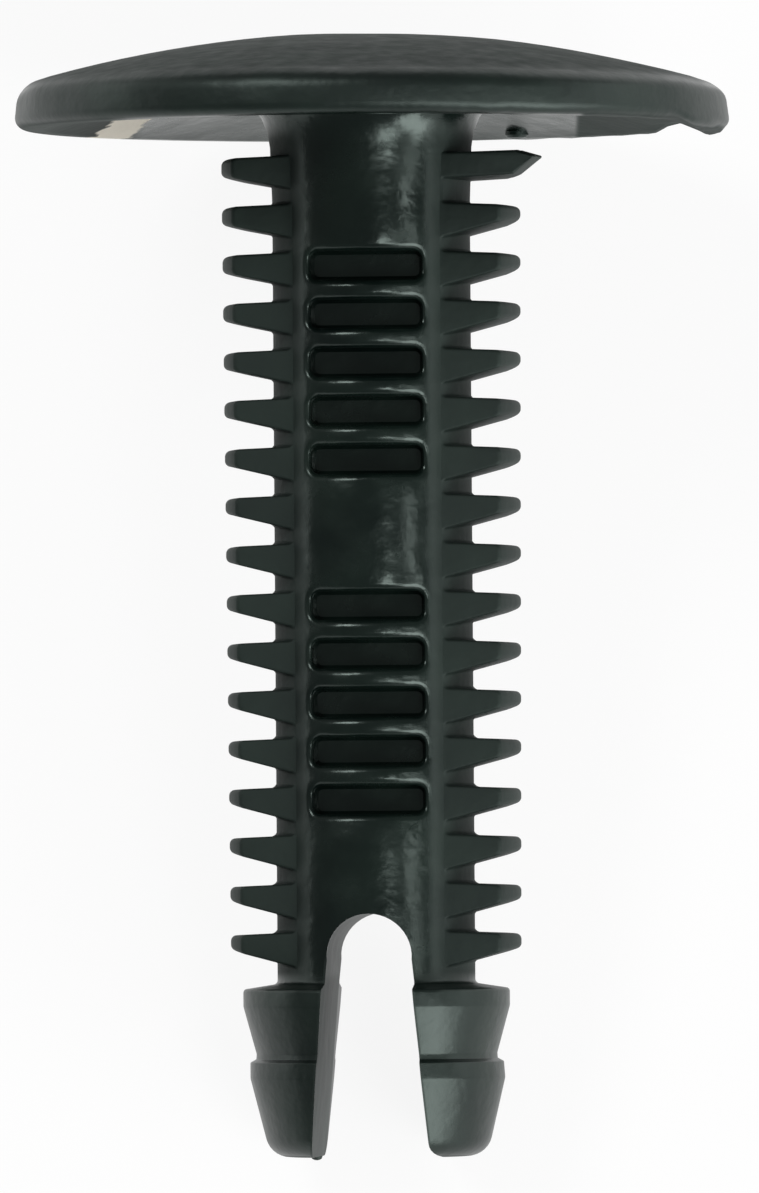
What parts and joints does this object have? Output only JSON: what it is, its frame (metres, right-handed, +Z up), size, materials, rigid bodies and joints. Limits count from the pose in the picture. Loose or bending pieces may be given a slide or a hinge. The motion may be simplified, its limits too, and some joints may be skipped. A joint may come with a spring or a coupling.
{
  "type": "push rivet",
  "caption": "One-piece plastic push-in fir-tree rivet: wide domed head, round stem with flexible side fins and ladder pockets, and a split barbed tip.",
  "frame": {"origin": "middle of the part's outline seen from above, on the surface it lies on", "axes": "+Y along the stem's level direction towards the head, +Z up and out of the ladder face that is on top, +X across the two rows of fins; the stem rises 14.2 degrees towards the head"},
  "size_m": [0.025, 0.04, 0.0244],
  "materials": {
    "nylon": "black moulded nylon with a soft sheen"
  },
  "bodies": {
    "root": {"push_rivet": "nylon"}
  },
  "joints": []
}
